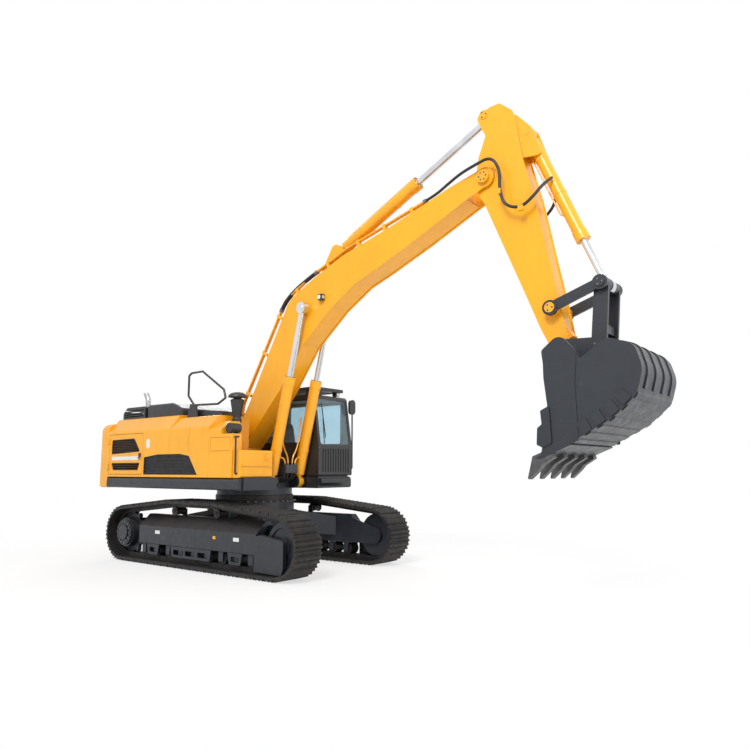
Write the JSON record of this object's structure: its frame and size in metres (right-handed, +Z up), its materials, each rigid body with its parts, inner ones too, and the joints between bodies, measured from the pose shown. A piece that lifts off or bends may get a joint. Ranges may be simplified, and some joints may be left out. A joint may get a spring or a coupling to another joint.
{
  "type": "crawler excavator",
  "caption": "Large tracked excavator with a slewing upper structure, cab, two-piece digging arm and toothed bucket, with hinged doors, hood and cylinder linkages.",
  "frame": {"origin": "centre of the overall box on the ground", "axes": "+X forward to the bucket, +Y to the machine's left, +Z up"},
  "size_m": [11.4944, 3.178, 7.5419],
  "materials": {
    "black_paint": "black semi-matt paint",
    "chrome_rod": "polished hard chrome",
    "clear_glass": "tinted safety glass",
    "dark_blue_grey": "worn dark blue-grey paint",
    "grille_black": "black louvre plastic",
    "lamp_body": "lamp housing",
    "seat_fabric": "dark seat cloth",
    "silver_metal": "bright stainless pipe",
    "tooth_steel": "ground wear steel",
    "track_steel": "worn bare and rusted steel",
    "weight_paint": "dark grey casting paint",
    "yellow": "glossy yellow machine paint"
  },
  "bodies": {
    "undercarriage": {"car_body": "dark_blue_grey", "carrier_rollers": "track_steel", "final_drive_left": "dark_blue_grey", "final_drive_right": "dark_blue_grey", "idler_left": "dark_blue_grey", "idler_right": "dark_blue_grey", "slew_ring": "track_steel", "track_frame_left": "dark_blue_grey", "track_frame_right": "dark_blue_grey", "track_left": "track_steel", "track_right": "track_steel", "track_rollers": "track_steel"},
    "upper": {"cab_glass": "clear_glass", "cab_shell": "black_paint", "cab_step": "black_paint", "catwalk": "dark_blue_grey", "control_stand": "grille_black", "counterweight": "yellow", "engine_block": "weight_paint", "exhaust_pipe": "silver_metal", "fuel_tank": "yellow", "handrails": "black_paint", "house_shell": "yellow", "hydraulic_tank": "yellow", "mirrors": "black_paint", "operator_seat": "seat_fabric", "precleaner": "black_paint", "rear_louvre": "black_paint", "roof_guard": "black_paint", "side_skirts": "dark_blue_grey", "side_vent": "grille_black", "tool_box": "yellow", "upper_frame": "dark_blue_grey", "work_lamps": "lamp_body"},
    "cab_door": {"cab_door": "black_paint", "cab_door_glass": "clear_glass"},
    "hood": {"hood": "black_paint"},
    "door_right": {"door_right": "yellow", "door_right_grille": "grille_black"},
    "door_left_rear": {"door_left_rear": "yellow", "door_left_rear_grille": "grille_black"},
    "door_left_front": {"door_left_front": "yellow"},
    "boom": {"boom": "yellow", "boom_pipes": "yellow", "boom_lamp": "lamp_body"},
    "boom_cylinder_barrels": {"boom_cylinder_barrels": "yellow"},
    "boom_cylinder_rods": {"boom_cylinder_rods": "chrome_rod"},
    "arm": {"arm": "yellow"},
    "arm_cylinder_barrel": {"arm_cylinder_barrel": "yellow"},
    "arm_cylinder_rod": {"arm_cylinder_rod": "chrome_rod"},
    "bucket": {"bucket": "dark_blue_grey", "bucket_teeth": "tooth_steel"},
    "bucket_cylinder_barrel": {"bucket_cylinder_barrel": "yellow"},
    "bucket_cylinder_rod": {"bucket_cylinder_rod": "chrome_rod"},
    "side_links": {"side_links": "dark_blue_grey"},
    "h_link": {"h_link": "dark_blue_grey"}
  },
  "joints": [
    {"name": "slew", "type": "hinge", "parent": "undercarriage", "child": "upper", "pos_m": [-2.107, 0, 1.18], "axis": [0, 0, 1], "continuous": true},
    {"name": "boom_lift", "type": "hinge", "parent": "upper", "child": "boom", "pos_m": [-2.407, 0, 2.15], "axis": [0, -1, 0], "range_deg": [-55, 18]},
    {"name": "boom_barrels_swing", "type": "hinge", "parent": "upper", "child": "boom_cylinder_barrels", "pos_m": [-1.267, 0, 1.56], "axis": [0, -1, 0], "range_deg": [-57.15, 18.7]},
    {"name": "boom_rods_slide", "type": "slide", "parent": "boom_cylinder_barrels", "child": "boom_cylinder_rods", "axis": [0.2341, 0, 0.9722], "range_m": [-1.14115, 0.37347]},
    {"name": "arm_swing", "type": "hinge", "parent": "boom", "child": "arm", "pos_m": [3.343, 0, 6.35], "axis": [0, 1, 0], "range_deg": [-71, 32]},
    {"name": "arm_barrel_swing", "type": "hinge", "parent": "boom", "child": "arm_cylinder_barrel", "pos_m": [0.143, 0, 5.85], "axis": [0, 1, 0], "range_deg": [-2.7, 1.22]},
    {"name": "arm_rod_slide", "type": "slide", "parent": "arm_cylinder_barrel", "child": "arm_cylinder_rod", "axis": [0.8961, 0, 0.4438], "range_m": [-1.198, 0.53994]},
    {"name": "bucket_curl", "type": "hinge", "parent": "arm", "child": "bucket", "pos_m": [4.493, 0, 3.45], "axis": [0, 1, 0], "range_deg": [-55, 105]},
    {"name": "side_links_swing", "type": "hinge", "parent": "arm", "child": "side_links", "pos_m": [4.373, 0, 4.07], "axis": [0, 1, 0], "range_deg": [-36.34, 69.37]},
    {"name": "bucket_link_swing", "type": "hinge", "parent": "bucket", "child": "h_link", "pos_m": [5.023, 0, 3.43], "axis": [0, 1, 0], "range_deg": [-73.57, 38.54]},
    {"name": "bucket_barrel_swing", "type": "hinge", "parent": "arm", "child": "bucket_cylinder_barrel", "pos_m": [4.023, 0, 6.93], "axis": [0, 1, 0], "range_deg": [-2.44, 4.66]},
    {"name": "bucket_rod_slide", "type": "slide", "parent": "bucket_cylinder_barrel", "child": "bucket_cylinder_rod", "axis": [0.3824, 0, -0.924], "range_m": [-0.39963, 0.76294]},
    {"name": "cab_door_swing", "type": "hinge", "parent": "upper", "child": "cab_door", "pos_m": [-2.047, 1.522, 2.45], "axis": [0, 0, 1], "range_deg": [0, 160]},
    {"name": "hood_lift", "type": "hinge", "parent": "upper", "child": "hood", "pos_m": [-2.881, 0, 2.872], "axis": [0, 1, 0], "range_deg": [0, 65]},
    {"name": "door_right_swing", "type": "hinge", "parent": "upper", "child": "door_right", "pos_m": [-4.992, -1.522, 2.1], "axis": [0, 0, -1], "range_deg": [0, 110]},
    {"name": "door_left_rear_swing", "type": "hinge", "parent": "upper", "child": "door_left_rear", "pos_m": [-4.992, 1.522, 2.1], "axis": [0, 0, 1], "range_deg": [0, 110]},
    {"name": "door_left_front_swing", "type": "hinge", "parent": "upper", "child": "door_left_front", "pos_m": [-3.952, 1.522, 2.1], "axis": [0, 0, 1], "range_deg": [0, 110]}
  ],
  "couplings": [
    {"joint": "boom_barrels_swing", "follows": "boom_lift", "ratio": 1.0381},
    {"joint": "boom_rods_slide", "follows": "boom_lift", "m_per_rad": 1.1876},
    {"joint": "arm_barrel_swing", "follows": "arm_swing", "ratio": 0.038},
    {"joint": "arm_rod_slide", "follows": "arm_swing", "m_per_rad": 0.9658},
    {"joint": "side_links_swing", "follows": "bucket_curl", "ratio": 0.66},
    {"joint": "bucket_link_swing", "follows": "bucket_curl", "ratio": -0.7},
    {"joint": "bucket_barrel_swing", "follows": "bucket_curl", "ratio": 0.0443},
    {"joint": "bucket_rod_slide", "follows": "bucket_curl", "m_per_rad": 0.4159}
  ]
}
